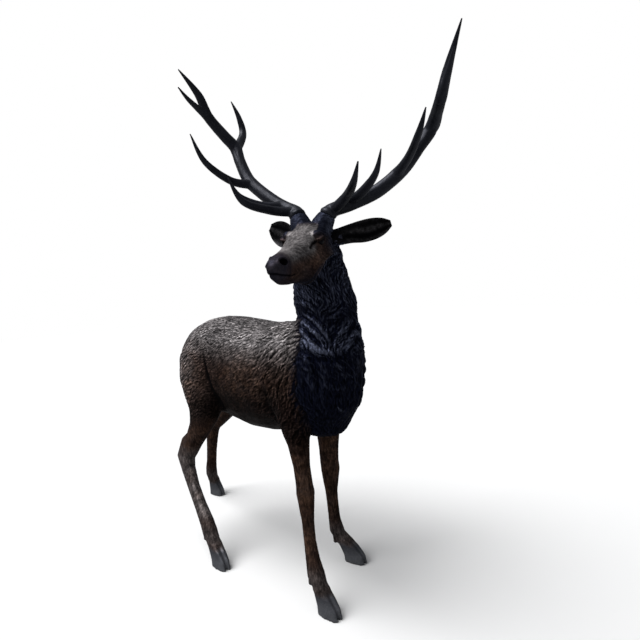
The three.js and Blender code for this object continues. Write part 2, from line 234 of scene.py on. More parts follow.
def crisp(height, ends, rounds=16):
    """A field's fine detail: each point against the skin around it, in shares of its usual spread."""
    a, b = ends[:, 0], ends[:, 1]
    count = np.maximum(np.bincount(a, minlength=len(height)) + np.bincount(b, minlength=len(height)), 1)
    around = height.copy()
    for _ in range(rounds):
        total = np.bincount(a, around[b], len(height)) + np.bincount(b, around[a], len(height))
        around = 0.5 * around + 0.5 * total / count
    detail = height - around
    return detail / max(detail[height > 0].std(), 1e-6)


def near_path(points, path):
    """Each point's distance to a broken line, and how far along it the nearest place is, from 0 to 1."""
    best = np.full(len(points), 1e9)
    where = np.zeros(len(points))
    path = np.array(path, float)
    lengths = np.linalg.norm(np.diff(path, axis=0), axis=1)
    for i, (a, b) in enumerate(zip(path[:-1], path[1:])):
        t = np.clip(((points - a) @ (b - a)) / lengths[i] ** 2, 0, 1)
        distance = np.linalg.norm(points - a - t[:, None] * (b - a), axis=1)
        closer = distance < best
        best[closer] = distance[closer]
        where[closer] = (lengths[:i].sum() + t[closer] * lengths[i]) / lengths.sum()
    return best, where


# The neck's rows: height, middle x, middle y, half width, depth before and behind.
NECK = np.array([
    [0.710, 0.424, 0.000, 0.036, 0.036, 0.036],
    [0.727, 0.424, 0.000, 0.080, 0.078, 0.080],
    [0.778, 0.430, 0.000, 0.112, 0.102, 0.122],
    [0.855, 0.438, 0.000, 0.144, 0.133, 0.168],
    [0.950, 0.441, 0.000, 0.158, 0.173, 0.215],
    [1.050, 0.437, 0.000, 0.158, 0.195, 0.200],
    [1.140, 0.444, 0.005, 0.140, 0.192, 0.150],
    [1.230, 0.456, 0.012, 0.117, 0.168, 0.108],
    [1.320, 0.450, 0.012, 0.126, 0.148, 0.121],
    [1.410, 0.441, 0.010, 0.112, 0.136, 0.124],
    [1.490, 0.434, 0.007, 0.098, 0.123, 0.109],
    [1.560, 0.426, 0.003, 0.081, 0.098, 0.093],
])

# The skull's rows in the head's frame: x, middle z, half width, height above and depth below.
SKULL = np.array([
    [-0.076, -0.102, 0.062, 0.070, 0.066],
    [-0.030, -0.098, 0.080, 0.096, 0.104],
    [0.035, -0.104, 0.086, 0.102, 0.130],
    [0.100, -0.128, 0.082, 0.082, 0.130],
    [0.165, -0.154, 0.063, 0.062, 0.114],
    [0.228, -0.176, 0.050, 0.049, 0.098],
    [0.285, -0.194, 0.043, 0.041, 0.088],
    [0.332, -0.209, 0.042, 0.037, 0.077],
    [0.361, -0.222, 0.034, 0.030, 0.061],
])


def neck_place(co):
    """How far out of the neck's skin a point is, as a share of its radius, its angle around the neck,
    and the level way around the neck there."""
    z = co[:, 2]
    x, y, half, ahead, behind = [np.interp(z, NECK[:, 0], NECK[:, k]) for k in range(1, 6)]
    turn = math.radians(-63.6) * smoothstep(z, 1.05, 1.60)
    dx, dy = co[:, 0] - x, co[:, 1] - y
    forward = dx * np.cos(turn) + dy * np.sin(turn)
    left = -dx * np.sin(turn) + dy * np.cos(turn)
    depth = np.where(forward > 0, ahead, behind)
    out = np.sqrt((forward / depth) ** 2 + (left / half) ** 2)
    angle = np.arctan2(left, forward)
    around = np.stack([-np.sin(turn + angle), np.cos(turn + angle), np.zeros_like(x)], 1)
    return np.where(z < 0.70, 3.0, out), angle, around


def skull_place(head):
    """How far out of the skull's skin a point is, as a share of its radius, and how high up in it."""
    middle, half, above, below = [np.interp(head[:, 0], SKULL[:, 0], SKULL[:, k]) for k in range(1, 5)]
    rise = head[:, 2] - middle
    rise = rise / np.where(rise > 0, above, below)
    out = np.hypot(head[:, 1] / half, rise)
    return np.where(head[:, 0] < -0.08, 3.0, out), rise


def softness(co, head):
    """How much the skin is evened out: most on the trunk and thighs, little on the head and the legs."""
    x, z = co[:, 0], co[:, 2]
    trunk = smoothstep(z, 0.62, 0.80)
    neck_fade = 1.0 - smoothstep(z, 1.36, 1.50)
    on_head = smoothstep(head[:, 0], 0.02, 0.10) * smoothstep(z, 1.25, 1.32)
    hoof = 0.06 * (1.0 - smoothstep(z, 0.10, 0.13))
    tail = smoothstep(-x, 0.600, 0.625) * smoothstep(z, 0.84, 0.88) * (1 - smoothstep(np.abs(co[:, 1]), 0.05, 0.07))
    return 0.025 + hoof + 0.42 * trunk * neck_fade * (1.0 - on_head) * (1.0 - tail)


def build_skin():
    mesh = voxel_mesh(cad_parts["stag"], SKIN_VOXEL)
    ends = read_edges(mesh)
    co = read_points(mesh) - SHIFT
    weight = softness(co, to_head(co))
    weight[co[:, 2] < 0.012] = 0.0
    co = relax(co, ends, 110, weight)
    write_points(mesh, co)
    refine_face(mesh)
    return mesh


def refine_face(mesh):
    """Halves the size of the faces on the front of the head."""
    bm = bmesh.new()
    bm.from_mesh(mesh)
    centres = np.array([face.calc_center_median() for face in bm.faces])
    head = to_head(centres)
    chosen = (head[:, 0] > 0.035) & (centres[:, 2] > 1.27) & (np.abs(head[:, 1]) < 0.13)
    chosen &= head[:, 2] > -0.32
    bm.edges.ensure_lookup_table()
    picked = {edge for face, use in zip(bm.faces, chosen) if use for edge in face.edges}
    bmesh.ops.subdivide_edges(bm, edges=list(picked), cuts=1, use_grid_fill=True)
    bm.to_mesh(mesh)
    bm.free()
    ends = read_edges(mesh)
    co = read_points(mesh)
    head = to_head(co)
    weight = 0.45 * ((head[:, 0] > 0.04) & (co[:, 2] > 1.28) & (np.abs(head[:, 1]) < 0.125))
    write_points(mesh, relax(co, ends, 5, weight))


def fur_flow(co, around, angle, on_neck, on_head):
    """The way the hair lies at each point."""
    x, y, z = co.T
    fall = 0.26 + 0.42 * smoothstep(x, 0.06, 0.30) + 1.1 * smoothstep(x, 0.14, 0.34) * (1 - smoothstep(z, 1.04, 1.17))
    fall += 0.50 * (1 - smoothstep(x, -0.38, -0.28)) * smoothstep(z, 0.7, 0.9)
    fall += 0.22 * np.sin(9 * x + 6 * z) + 0.16 * np.sin(31 * x - 17 * z)
    body = np.stack([-np.ones_like(x), np.zeros_like(x), -fall], 1)
    meet = -np.sin(angle) * (0.6 + 1.0 * smoothstep(z, 1.0, 1.12)) + 0.35 * np.sin(15 * z + 3 * angle)
    # Across the chest the hair runs down from the mane's middle and from its edges into two V shapes.
    off_ridge = angle - MIDDLE_RIDGE
    inward = smoothstep(np.abs(off_ridge), 0.0, 0.2) * (1 - 2 * smoothstep(np.abs(off_ridge), 0.55, 0.95))
    chest = smoothstep(z, 1.05, 1.11) * (1 - smoothstep(z, 1.24, 1.30))
    meet = meet * (1 - chest) + 1.2 * np.sign(off_ridge) * inward * chest
    mane = around * meet[:, None]
    mane[:, 2] -= 0.9
    legs = np.stack([np.zeros_like(x), np.zeros_like(x), -np.ones_like(x)], 1)
    back = np.array(HEAD.to_3x3() @ Vector((-1.0, 0.0, -0.25)))
    low = (1 - smoothstep(z, 0.60, 0.78))[:, None]
    flow = unit(body) * (1 - low) + legs * low
    flow = flow * (1 - on_neck[:, None]) + unit(mane) * on_neck[:, None]
    return flow * (1 - on_head[:, None]) + back * on_head[:, None]


def some(chosen, co, normals, flow, *sizes, **more):
    """Tufts at the chosen points only."""
    height = np.zeros(len(co))
    height[chosen] = tufts(co[chosen], normals[chosen], flow[chosen], *sizes, **more)
    return height


# The mane's big locks where it meets the chest: (angle around the neck, height) along each, how broad the
# lock is and how much painted highlight its crest gets. Each has a twin across the ridge in the mane's middle.
LOCKS = [
    ([(-1.22, 1.259), (-0.99, 1.234), (-0.70, 1.198), (-0.58, 1.157), (-0.54, 1.125)], 0.010, 0.45),
    ([(-1.46, 1.226), (-1.13, 1.198), (-0.83, 1.166), (-0.67, 1.129)], 0.011, 0.50),
    ([(-1.46, 1.190), (-1.21, 1.162), (-0.95, 1.134), (-0.76, 1.110)], 0.011, 0.40),
    ([(-1.43, 1.153), (-1.13, 1.123), (-0.87, 1.100), (-0.59, 1.095), (-0.42, 1.112)], 0.017, 0.60),
    ([(0.15, 1.226), (-0.09, 1.193), (-0.24, 1.158), (-0.44, 1.120)], 0.012, 0.35),
    ([(0.22, 1.174), (-0.05, 1.146), (-0.22, 1.117), (-0.36, 1.095)], 0.012, 0.45),
    ([(-0.80, 0.970), (-0.56, 0.946), (-0.26, 0.940)], 0.013, 0.20),
    ([(-0.58, 1.050), (-0.45, 1.042), (-0.32, 1.024)], 0.008, 0.30),
    ([(-0.52, 0.872), (-0.36, 0.852), (-0.18, 0.840)], 0.008, 0.34),
    ([(-0.40, 1.010), (-0.22, 0.994), (-0.06, 1.000)], 0.009, 0.24),
    ([(-1.10, 1.300), (-0.86, 1.286), (-0.60, 1.250)], 0.009, 0.25),
    ([(-1.25, 1.090), (-1.12, 1.020), (-1.05, 0.950), (-1.00, 0.880)], 0.013, 0.15),
    ([(-0.80, 1.060), (-0.76, 0.990), (-0.84, 0.920), (-0.80, 0.850)], 0.012, 0.12),
    ([(0.00, 1.080), (0.06, 1.010), (-0.02, 0.930), (0.04, 0.860)], 0.013, 0.15),
]
NECK_GIRTH = 0.16
MIDDLE_RIDGE = 0.15


def mane_locks(angle, z):
    """The lift of the big locks, and their painted shine: highlight on the crests, shade in the grooves beside them.
    """
    lift, shine = np.zeros(len(z)), np.zeros(len(z))
    for path, width, crest in LOCKS:
        for turned in (angle, 2 * MIDDLE_RIDGE - angle):
            flat = np.stack([NECK_GIRTH * turned, z], 1)
            distance, place = near_path(flat, [(NECK_GIRTH * a, h) for a, h in path])
            ends = smoothstep(place, 0.0, 0.15) * (1 - 0.6 * smoothstep(place, 0.75, 1.0))
            groove = bump(distance - 2.0 * width, 0.7 * width) * ends
            ridge = bump(distance, width) * ends
            lift += (0.45 * ridge - 0.30 * groove) * width
            # Painted highlight on the crest, painted shade in the groove beside it.
            shine += crest * bump(distance, 0.75 * width) * ends - 0.45 * min(crest, 0.4) * groove
    return np.clip(lift, -0.008, 0.010), shine


def mane_edge(co):
    """How far a point is ahead of the mane's edge on the shoulder."""
    x, y, z = co.T
    edge = 0.318 + 0.130 * smoothstep(np.abs(y), 0.0, 0.14) + 0.02 * (1 - smoothstep(z, 0.80, 0.92))
    edge += 0.006 * np.sin(46 * z) + 0.004 * np.sin(97 * z + 2.0)
    return x - edge


def dress_skin(mesh):
    """Puts fur, locks and the face's forms into the skin's mesh. Returns its fields of colour, painted highlight and
    painted shade.
    """
    co = read_points(mesh)
    normals = read_normals(mesh)
    ends = read_edges(mesh)
    head = to_head(co)
    x, y, z = co.T
    out, angle, around = neck_place(co)
    skull, rise = skull_place(head)
    face = 1 - smoothstep(skull - 0.45 * smoothstep(rise, -0.45, 0.0), 1.05, 1.16)
    face *= smoothstep(head[:, 0], -0.01, 0.06) * smoothstep(z, 1.25, 1.30)
    crown = smoothstep(z, 1.53, 1.59)
    on_head = np.maximum(face, crown)
    ahead = mane_edge(co)
    on_neck = smoothstep(ahead, -0.010, 0.012) * (1 - on_head) * smoothstep(z, 0.69, 0.74)
    on_neck = np.maximum(on_neck, smoothstep(z, 1.215, 1.235) * smoothstep(x, 0.28, 0.30) * (1 - on_head))
    hoof = 1 - smoothstep(z + 0.004 * np.sin(70 * x + 50 * y), 0.072, 0.100)
    leg = (1 - smoothstep(z, 0.62, 0.76)) * (1 - on_neck)
    trunk = (1 - on_neck) * (1 - on_head) * (1 - leg)
    flow = fur_flow(co, around, angle, on_neck, on_head)

    withers = smoothstep(x, 0.06, 0.22) * trunk
    haunch = (1 - smoothstep(x, -0.34, -0.24)) * trunk
    worn = bump(x + 0.03, 0.20) * (1 - smoothstep(z, 1.00, 1.14)) + (1 - smoothstep(z, 0.72, 0.86)) * (x < 0.25)
    worn = np.clip(worn, 0, 1) * (1 - haunch)
    patch = 0.5 + 0.5 * np.sin(17 * x + 9 * z + 2.0 * np.sin(11 * y + 13 * z)) * np.sin(23 * z - 7 * x + 2.2 * np.sin(14 * x))
    worn = np.maximum(worn, 0.55 * smoothstep(patch, 0.45, 0.85) * (1 - withers))
    short = some(trunk > 0.01, co, normals, flow, 0.0165, 0.050, 0.0115, 11, lean=0.34, wave=0.2)
    long = some(withers > 0.01, co, normals, flow, 0.025, 0.092, 0.017, 12, lean=0.26, wave=0.3)
    fur = np.maximum(short * (1 - 0.6 * withers), long * withers)
    strength = trunk * (1 - 0.72 * worn)
    lift = short * strength * (0.0030 * (1 - 0.6 * withers) + 0.0010 * haunch)
    lift += long * strength * withers * 0.0066
    # coat: the fur's crest level, which later sets the painted highlight on the crests and the painted shade between
    # them.
    coat = (0.46 + 0.05 * haunch + (0.18 + 0.07 * withers + 0.11 * haunch) * crisp(fur, ends) * (1 - 0.82 * worn)) * trunk

    chosen = on_neck > 0.01
    locks = some(chosen, co, normals, flow, 0.064, 0.230, 0.070, 20, lean=0.35, wave=0.25)
    strands = some(chosen, co, normals, flow, 0.032, 0.150, 0.023, 21, lean=0.30, wave=0.6)
    hairs = some(chosen, co, normals, flow, 0.018, 0.060, 0.010, 22, lean=0.3, wave=0.3)
    deep = 0.55 + 0.45 * (1 - smoothstep(z, 1.30, 1.45))
    lift += on_neck * deep * (0.0085 * (locks - 0.45) + 0.0060 * (strands - 0.35) + 0.0018 * (hairs - 0.3))
    hang = crisp(0.6 * strands + 0.4 * hairs, ends)
    coat += on_neck * (0.42 + 0.20 * hang + 0.30 * (locks - 0.6))
    lock_lift, lock_shine = mane_locks(angle, z)
    lift += on_neck * lock_lift
    coat += on_neck * lock_shine * (0.25 + 1.1 * strands)

    fine = some((on_head > 0.01) | (leg > 0.01), co, normals, flow, 0.014, 0.028, 0.008, 31, lean=0.3)
    muzzle = smoothstep(head[:, 0], 0.24, 0.31) * face
    lift += fine * (0.0009 * on_head * (1 - muzzle) + 0.0008 * leg * (1 - hoof))
    coat += on_head * (0.67 + 0.35 * (fine - 0.5) * (1 - muzzle)) + leg * (0.55 + 0.35 * (fine - 0.5) * (1 - hoof))

    step = smoothstep(z, 0.78, 0.84) * (1 - smoothstep(z, 1.19, 1.23)) * smoothstep(np.abs(y), 0.02, 0.06)
    lift += 0.006 * on_neck * step * bump(ahead - 0.02, 0.05) - 0.005 * bump(ahead + 0.004, 0.008) * step
    shapes, fold_shade = body_forms(co, normals, trunk, leg, on_neck)
    face_lift, hollow_shade, light = face_forms(co, normals, head, face)
    lift += shapes + face_lift
    # The painted highlight round the eye joins the crests' painted light.
    coat += light
    hollow_shade = np.maximum(hollow_shade, fold_shade)
    # Painted shadow along the mane's edge, where it steps out over the shoulder.
    hollow_shade = np.maximum(hollow_shade, 0.55 * bump(ahead + 0.003, 0.009) * step)
    lift *= smoothstep(z, 0.0, 0.03)
    write_points(mesh, co + normals * lift[:, None])
    return paint(co, normals, head, coat, hollow_shade, {
        "face": face, "crown": crown, "on_head": on_head, "on_neck": on_neck, "leg": leg, "hoof": hoof})


def paint(co, normals, head, coat, hollow_shade, part):
    """The skin's fields: the bronze's blue-black, warm and steely tones, a lighter tone that is mostly painted
    highlight, where painted shade lies, and how much painted highlight the crests get.
    """
    x, y, z = co.T
    face, crown, leg = part["face"], part["crown"], part["leg"]
    right_up = np.hypot((head[:, 0] - 0.01) / 1.0, head[:, 2] + 0.07)
    black = np.clip(part["on_neck"], 0, 1)
    black = np.maximum(black, 0.75 * smoothstep(head[:, 0], 0.27, 0.35) * face)
    black = np.maximum(black, 0.85 * face * bump(right_up, 0.060) * smoothstep(np.abs(head[:, 1]), 0.055, 0.075))
    skull, rise = skull_place(head)
    throat = smoothstep(skull, 0.86, 1.08) * (1 - smoothstep(rise, -0.6, -0.3)) * (1 - smoothstep(head[:, 0], 0.15, 0.24))
    black = np.maximum(black, 0.9 * throat * face)
    temple = smoothstep(np.abs(head[:, 1]), 0.045, 0.065)
    black = np.maximum(black, crown * smoothstep(head[:, 2] + 0.075 * temple, -0.03, 0.0))
    black = np.maximum(black, 0.6 * smoothstep(-head[:, 2], 0.245, 0.27) * face)
    warm = bump(np.hypot(x + 0.45, (z - 0.88) / 1.2), 0.12) * 0.9
    warm += 0.6 * bump(np.hypot((x - 0.08) / 1.2, z - 0.92), 0.14)
    warm += 0.45 * leg * smoothstep(z, 0.16, 0.3)
    cheek = np.hypot((head[:, 0] - 0.11) / 1.4, head[:, 2] + 0.175)
    warm += 0.5 * bump(np.hypot(x + 0.45, (z - 1.02) / 1.4), 0.11)
    warm += 0.22 * face * bump(cheek, 0.045)
    ear_root = smoothstep(np.abs(head[:, 1]), 0.070, 0.085) * (1 - smoothstep(head[:, 0], 0.02, 0.05))
    ear_root *= smoothstep(z, 1.40, 1.46)
    black = np.maximum(black, 0.9 * ear_root)
    ragged = smoothstep(mane_edge(co) - 0.06 * (coat - 0.46), -0.040, 0.012) * smoothstep(z, 0.72, 0.82)
    black = np.maximum(black, ragged * (1 - part["on_head"]))
    warm = np.clip(warm, 0, 1) * (1 - black)
    # A lighter tone that is mostly painted highlight: sheen on the up-facing back and neck and on the bridge of the
    # nose, highlights on the haunch and the right hind shin; the pasterns are lighter too.
    up = np.clip(normals[:, 2], 0, 1)
    grey_and_sheen = (up ** 0.8) * smoothstep(z, 0.92, 1.16) * (1 - part["on_head"])
    grey_and_sheen += 0.45 * smoothstep(z, 0.98, 1.16) * (1 - part["on_head"]) * smoothstep(normals[:, 2], -0.1, 0.3)
    bridge = smoothstep(rise, -0.25, 0.45)
    bridge *= 1 - (1 - smoothstep(head[:, 0], 0.12, 0.16)) * smoothstep(np.abs(head[:, 1]), 0.050, 0.068)
    bridge *= smoothstep(head[:, 0], 0.0, 0.05) * (1 - 0.7 * smoothstep(head[:, 0], 0.28, 0.34))
    grey_and_sheen = np.maximum(grey_and_sheen, 1.3 * part["on_head"] * bridge)
    grey_and_sheen = np.maximum(grey_and_sheen, 0.75 * bump(np.hypot(x + 0.47, (z - 1.00) / 1.3), 0.13) * (1 - part["on_head"]))
    shin = smoothstep(z, 0.16, 0.24) * (1 - smoothstep(z, 0.46, 0.56)) * (x < -0.1) * (y < 0)
    grey_and_sheen = np.maximum(grey_and_sheen, 0.62 * leg * shin)
    pastern = bump(z - 0.13, 0.05) * leg
    grey_and_sheen = np.maximum(grey_and_sheen, 0.40 * pastern)
    # Painted shade: the lower trunk, the tail and every face that points down get it, and the underside of the jaw.
    shade = 1 - smoothstep(z + 0.10 * (1 - smoothstep(x, -0.30, -0.18)), 0.82, 1.04) * (1 - leg) * (x > -0.62)
    shade *= (1 - leg) * (1 - 0.8 * part["on_neck"]) * (1 - part["on_head"])
    shade = np.maximum(shade, np.clip(-normals[:, 2], 0, 1) * (1 - part["on_head"]) * 0.8)
    under_jaw = face * smoothstep(-(head[:, 2] + 0.35 * head[:, 0]), 0.165, 0.215)
    shade = np.maximum(shade, 0.85 * under_jaw)
    # Painted sheen: how much painted highlight the crests of the blue-black parts get, more high on the neck, in a
    # band across the chest and on the big locks, and on the head, most at the ear roots.
    painted_sheen = 0.08 + 0.17 * smoothstep(z, 0.90, 1.04) + 0.60 * smoothstep(z, 1.24, 1.32)
    painted_sheen = np.maximum(painted_sheen, 0.9 * bump(z - 1.15, 0.07))
    painted_sheen = np.maximum(painted_sheen, 0.8 * smoothstep(mane_locks(neck_place(co)[1], z)[1], 0.1, 0.4))
    painted_sheen = np.maximum(painted_sheen * part["on_neck"], (0.30 + 0.6 * ear_root) * (1 - part["on_neck"]))
    # The bronze's blue-black and warm tones, and the lighter tone that is mostly painted highlight.
    patina_and_sheen = np.stack([black, warm, np.clip(grey_and_sheen, 0, 1) * (1 - black)], 1)
    return {
        "patina_and_sheen": patina_and_sheen,
        # How light the crests are painted, less where painted shade lies in hollows.
        "crest_light": np.clip(coat * (1 - hollow_shade), 0, 1),
        # Painted shade in the hollows.
        "recess_shade": np.clip(hollow_shade, 0, 1),
        "shade": np.clip(shade, 0, 1),
        "steel": part["hoof"] * (1 - 0.6 * np.clip(-normals[:, 2], 0, 1)),
        "painted_sheen": np.clip(painted_sheen, 0, 1),
        "fuzz": (1 - 0.65 * leg) * (1 - 0.75 * face) * (1 - part["hoof"]),
        "hanging": np.maximum(part["on_neck"], leg),
    }


# The crease in front of each thigh, in the figure's x and z. The left hind leg stands further back.
FLANK_RIGHT = [(-0.290, 1.120), (-0.262, 1.065), (-0.228, 0.985), (-0.196, 0.900), (-0.168, 0.820)]
FLANK_LEFT = [(-0.330, 1.100), (-0.345, 1.030), (-0.338, 0.950), (-0.318, 0.870), (-0.285, 0.800)]


def body_forms(co, normals, trunk, leg, on_neck):
    """Folds and muscles of the body. Returns the lift and how much painted shade lies in the creases."""
    x, y, z = co.T
    side = smoothstep(np.abs(y), 0.06, 0.12)
    flat = np.stack([x, z], 1)
    right, right_place = near_path(flat, FLANK_RIGHT)
    left, left_place = near_path(flat, FLANK_LEFT)
    distance, place = np.where(y < 0, right, left), np.where(y < 0, right_place, left_place)
    width = 0.010 + 0.016 * place
    depth = smoothstep(place, 0.02, 0.55) * trunk * side * np.where(y < 0, 1.0, 0.6)
    lift = -0.009 * np.exp(-(distance / width) ** 2) * depth
    # Painted shade along the crease, in the pit below it and along the elbow.
    hollow_shade = 0.85 * np.exp(-(distance / (0.7 * width)) ** 2) * depth
    pit = bump(np.hypot(x + 0.160, 0.7 * (z - 0.805)), 0.030) * side * (1 - on_neck) * (y < 0)
    lift -= 0.008 * pit
    hollow_shade = np.maximum(hollow_shade, 0.9 * pit)
    thigh = bump(np.hypot((x + 0.40) / 1.1, (z - 0.93) / 1.8), 0.11) * trunk * side
    lift += 0.006 * thigh
    elbow, run = near_path(flat, [(0.262, 0.93), (0.266, 0.86), (0.285, 0.79)])
    lift -= 0.006 * bump(elbow, 0.020) * trunk * side
    hollow_shade = np.maximum(hollow_shade, 0.35 * bump(elbow, 0.014) * trunk * side)
    blade, _ = near_path(flat, [(0.27, 1.12), (0.33, 0.98)])
    lift += 0.005 * bump(blade, 0.06) * trunk * side * (1 - on_neck)
    behind, _ = near_path(flat, [(0.175, 1.10), (0.20, 1.00), (0.235, 0.92)])
    lift -= 0.005 * bump(behind, 0.03) * trunk * side
    ribs = 0.5 + 0.5 * np.sin((x + 0.25 * (z - 0.95) + 0.02 * np.sin(14 * z)) * 2 * math.pi / 0.075)
    lift += 0.0008 * ribs * bump(x - 0.02, 0.15) * bump(z - 0.90, 0.13) * side * trunk
    coronet = bump(z - 0.096, 0.009)
    lift += 0.0014 * coronet * leg
    return lift, hollow_shade


def face_forms(co, normals, head, face):
    hx, hy, hz = head[:, 0], np.abs(head[:, 1]), head[:, 2]
    right_up = np.stack([hx, hz], 1)
    on_side = smoothstep(hy, 0.028, 0.045)
    lift = np.zeros(len(co))
    hollow_shade = np.zeros(len(co))

    # Eyelids and brow, with painted shade round the eye and a painted highlight in a ring above it, strongest on the
    # upper lid.
    ex, ez = hx - 0.101, hz + 0.092
    u, v = ex * math.cos(0.35) - ez * math.sin(0.35), ex * math.sin(0.35) + ez * math.cos(0.35)
    ring = np.hypot(u / 1.45, v)
    eye_side = smoothstep(hy, 0.055, 0.07) * face
    lid = bump(ring - 0.0155, 0.0034) * eye_side
    lift += lid * np.where(v > 0, 0.0056, 0.0036)
    # light: a painted highlight in a ring round the eye, strongest on the upper lid.
    light = bump(ring - 0.0190, 0.0032) * eye_side * (0.08 + 0.12 * smoothstep(v, -0.002, 0.006))
    lift -= 0.004 * bump(ring, 0.010) * eye_side
    hollow_shade = np.maximum(hollow_shade, 0.9 * bump(ring, 0.0125) * eye_side)
    fold, _ = near_path(right_up, [(0.124, -0.072), (0.104, -0.063), (0.078, -0.066)])
    lift -= 0.0022 * bump(fold, 0.004) * eye_side
    hollow_shade = np.maximum(hollow_shade, 0.25 * bump(fold, 0.004) * eye_side)

    # The tear duct, from the inner corner of the eye down and forward, painted near black as shade in its groove.
    tear, place = near_path(right_up, [(0.126, -0.098), (0.144, -0.108), (0.164, -0.127)])
    duct = bump(tear, 0.0055) * on_side * face * (1 - 0.3 * place)
    lift -= 0.006 * duct
    hollow_shade = np.maximum(hollow_shade, 0.95 * duct)

    # Cheek, jaw and the bone of the nose.
    lift += 0.006 * bump(np.hypot((hx - 0.085) / 1.5, hz + 0.175), 0.05) * face * on_side
    jaw, _ = near_path(right_up, [(0.10, -0.235), (0.17, -0.255), (0.24, -0.262)])
    lift += 0.003 * bump(jaw, 0.012) * face * on_side
    hollow, _ = near_path(right_up, [(0.17, -0.150), (0.26, -0.185)])
    lift -= 0.004 * bump(hollow, 0.018) * face * on_side

    # Nostrils with a raised rim; the holes are painted black as shade.
    nx, ny, nz = hx - 0.352, hy - 0.033, hz + 0.199
    hole = np.sqrt((nx / 1.5) ** 2 + ny ** 2 + nz ** 2)
    lift += 0.0034 * bump(hole - 0.0195, 0.0045) * face
    hollow_shade = np.maximum(hollow_shade, 1.0 - smoothstep(hole, 0.0125, 0.0160))
    pad = smoothstep(hx, 0.345, 0.37) * face
    grain = np.sin(head[:, 1] * 900) * np.sin(hz * 900)
    lift += 0.0004 * grain * pad

    # The mouth's line and the lips; the line is painted dark as shade.
    line = np.interp(hx, [0.24, 0.29, 0.35, 0.385], [-0.233, -0.2455, -0.2475, -0.243])
    open_at = smoothstep(hx, 0.238, 0.26) * face
    mouth = bump(hz - line, 0.0028) * open_at
    lift -= 0.0012 * mouth
    lift += 0.0014 * (bump(hz - line - 0.009, 0.006) + bump(hz - line + 0.010, 0.006)) * open_at
    hollow_shade = np.maximum(hollow_shade, 0.6 * mouth)
    return lift, hollow_shade, light


# Materials


class Nodes:
    """A short way to write a material's nodes."""

    def __init__(self, name):
        self.material = bpy.data.materials.new(name)
        self.material.use_nodes = True
        self.tree = self.material.node_tree
        self.shader = self.tree.nodes["Principled BSDF"]

    def add(self, kind, **settings):
        node = self.tree.nodes.new(kind)
        for key, value in settings.items():
            setattr(node, key, value)
        return node

    def link(self, source, target):
        self.tree.links.new(source, target)

    def field(self, name):
        return self.add("ShaderNodeAttribute", attribute_name=name)

    def noise(self, scale, detail=4.0, rough=0.55, distortion=0.0):
        place = self.add("ShaderNodeTexCoord")
        node = self.add("ShaderNodeTexNoise")
        self.link(place.outputs["Object"], node.inputs["Vector"])
        node.inputs["Scale"].default_value = scale
        node.inputs["Detail"].default_value = detail
        node.inputs["Roughness"].default_value = rough
        node.inputs["Distortion"].default_value = distortion
        return node.outputs["Fac"]

    def streaks(self, scale, stretch, turn):
        """Noise that is drawn out along one way: stretch times along each axis, after a turn about y."""
        place = self.add("ShaderNodeTexCoord")
        laid = self.add("ShaderNodeMapping", vector_type="TEXTURE")
        laid.inputs["Rotation"].default_value = (0.0, turn, 0.0)
        laid.inputs["Scale"].default_value = stretch
        node = self.add("ShaderNodeTexNoise")
        node.inputs["Scale"].default_value = scale
        node.inputs["Detail"].default_value = 2.0
        self.link(place.outputs["Object"], laid.inputs["Vector"])
        self.link(laid.outputs["Vector"], node.inputs["Vector"])
        return node.outputs["Fac"]

    def height(self):
        place, parts = self.add("ShaderNodeTexCoord"), self.add("ShaderNodeSeparateXYZ")
        self.link(place.outputs["Object"], parts.inputs[0])
        return parts.outputs["Z"]

    def ramp(self, source, stops):
        node = self.add("ShaderNodeValToRGB")
        elements = node.color_ramp.elements
        while len(elements) < len(stops):
            elements.new(0.5)
        for element, (position, colour) in zip(elements, stops):
            element.position = position
            element.color = (*colour, 1.0) if hasattr(colour, "__len__") else (colour, colour, colour, 1.0)
        self.link(source, node.inputs["Fac"])
        return node.outputs["Color"]

    def mix(self, amount, first, second, blend="MIX"):
        node = self.add("ShaderNodeMix", data_type="RGBA", blend_type=blend, clamp_factor=True)
        for socket, value in ((node.inputs[0], amount), (node.inputs[6], first), (node.inputs[7], second)):
            if isinstance(value, bpy.types.NodeSocket):
                self.link(value, socket)
            elif hasattr(value, "__len__"):
                socket.default_value = (*value, 1.0)
            else:
                socket.default_value = value
        return node.outputs[2]

    def math(self, operation, first, second):
        node = self.add("ShaderNodeMath", operation=operation, use_clamp=True)
        for socket, value in zip(node.inputs, (first, second)):
            if isinstance(value, bpy.types.NodeSocket):
                self.link(value, socket)
            else:
                socket.default_value = value
        return node.outputs[0]

    def bumps(self, source, strength, distance):
        node = self.add("ShaderNodeBump")
        node.inputs["Strength"].default_value = strength
        node.inputs["Distance"].default_value = distance
        self.link(source, node.inputs["Height"])
        self.link(node.outputs["Normal"], self.shader.inputs["Normal"])


# What the metal's gloss keeps at a grazing angle, where bare metal would mirror the pale floor.
EDGE_TINT = (0.42, 0.43, 0.48, 1.0)
# The colour of the painted shade low on the body, under it and under the jaw.
SHADE_DARK = (0.006, 0.0038, 0.0038)
BROWN = (0.050, 0.034, 0.029)
RED_BROWN = (0.036, 0.020, 0.015)
WARM = (0.135, 0.074, 0.046)
GREY = (0.158, 0.150, 0.153)
# The hooves' horn from the sole up, over 0.1 m.
HORN = [(0.0, (0.150, 0.156, 0.172)), (0.35, (0.125, 0.130, 0.145)), (0.72, (0.065, 0.067, 0.077)), (1.0, (0.12, 0.105, 0.105))]
STREAKS = [(0.34, 0.35), (0.50, 1.0), (0.66, 1.9)]
# The mane's blue-black, and the colour of the painted highlights on its crests.
BLUE_BLACK = (0.0038, 0.0046, 0.0110)
BLUE_HIGHLIGHT = (0.100, 0.112, 0.165)


